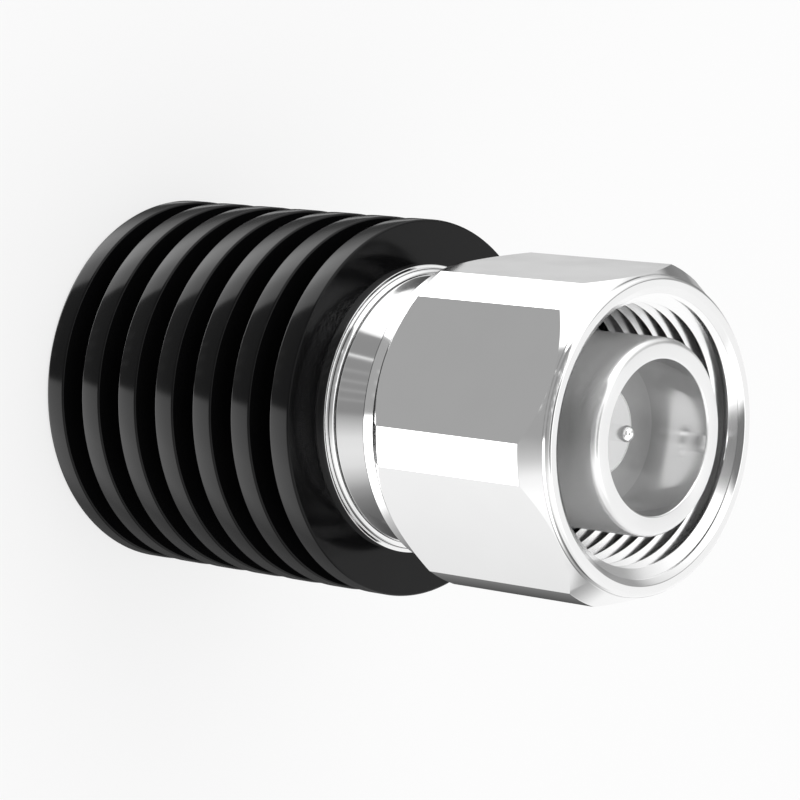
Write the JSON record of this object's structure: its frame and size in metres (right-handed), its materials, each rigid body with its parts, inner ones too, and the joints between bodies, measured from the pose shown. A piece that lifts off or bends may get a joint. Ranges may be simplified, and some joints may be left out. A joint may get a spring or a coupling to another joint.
{
  "type": "rf dummy load",
  "caption": "Coaxial dummy load: finned black heat sink, plated flange and neck, free-spinning hexagon coupling nut round a contact tube with a centre pin.",
  "frame": {"origin": "middle of the flat rear end of the heat sink, on which the load stands", "axes": "+Z along the axis towards the connector; +X through two corners of the coupling nut at rest"},
  "size_m": [0.022, 0.022, 0.0378],
  "materials": {
    "black_anodised": "glossy black anodised, turned",
    "bright_plating": "bright white-bronze plating over turned brass",
    "nut_plating": "bright plating over a turned hexagon bar",
    "silvered_pin": "silver-plated, polished",
    "turned_brass": "plain turned brass",
    "spring_bronze": "spring bronze, bright",
    "silvered_caps": "silver-plated copper",
    "ceramic_film": "ceramic with a dark resistive film",
    "bead_plastic": "smooth low-loss plastic, waxy",
    "gasket_silicone": "grey silicone rubber",
    "seal_rubber": "black rubber"
  },
  "bodies": {
    "load": {"heat_sink": "black_anodised", "taper_sleeve": "turned_brass", "ground_collet": "spring_bronze", "rear_cap": "silvered_caps", "resistor_rod": "ceramic_film", "front_cap": "silvered_caps", "connector_body": "bright_plating", "flange_seal": "seal_rubber", "neck_seal": "seal_rubber", "snap_ring": "spring_bronze", "rear_bead": "bead_plastic", "bead_bush": "turned_brass", "contact_tube": "bright_plating", "front_bead": "bead_plastic", "centre_pin": "silvered_pin", "face_gasket": "gasket_silicone"},
    "nut": {"coupling_nut": "nut_plating"}
  },
  "joints": [
    {"name": "nut_spin", "type": "hinge", "parent": "load", "child": "nut", "pos_m": [0, 0, 0.0306], "axis": [0, 0, 1], "continuous": true}
  ]
}
